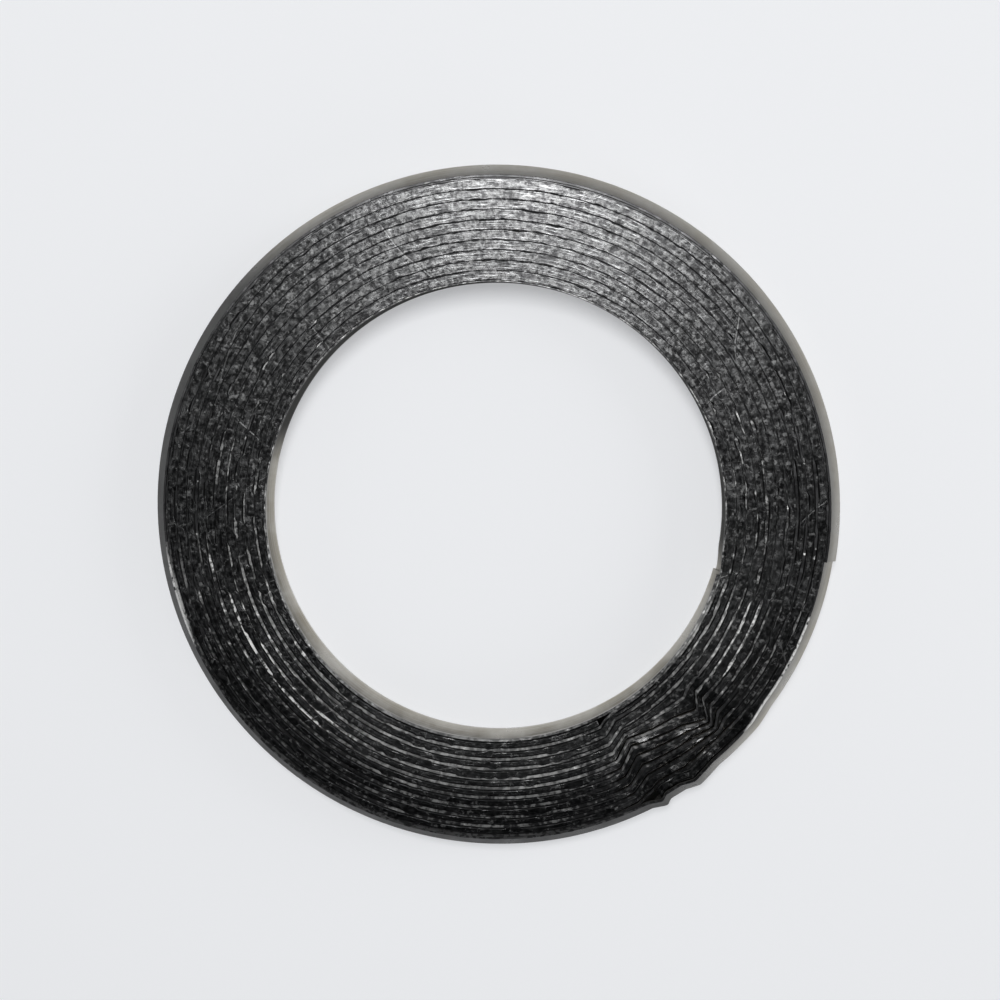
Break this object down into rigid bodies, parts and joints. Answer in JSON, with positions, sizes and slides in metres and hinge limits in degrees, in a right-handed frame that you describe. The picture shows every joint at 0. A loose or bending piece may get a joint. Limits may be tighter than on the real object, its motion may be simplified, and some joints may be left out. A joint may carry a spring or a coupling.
{
  "type": "exhaust gasket",
  "caption": "Flat spiral-wound ring gasket of V-formed steel strip and graphite tape that seals an exhaust pipe joint, worn and with rucked outer turns at one place.",
  "frame": {"origin": "centre of the bore, on the lower sealing face", "axes": "+Z along the bore, out of the upper sealing face; the rucked turns lie in the quarter between +X and -Y"},
  "size_m": [0.06, 0.06, 0.0045],
  "materials": {
    "steel": "rolled strip, heat-dulled",
    "graphite": "dark flexible graphite, scuffed and flaking"
  },
  "bodies": {
    "root": {"steel_strip": "steel", "graphite_tape": "graphite"}
  },
  "joints": []
}
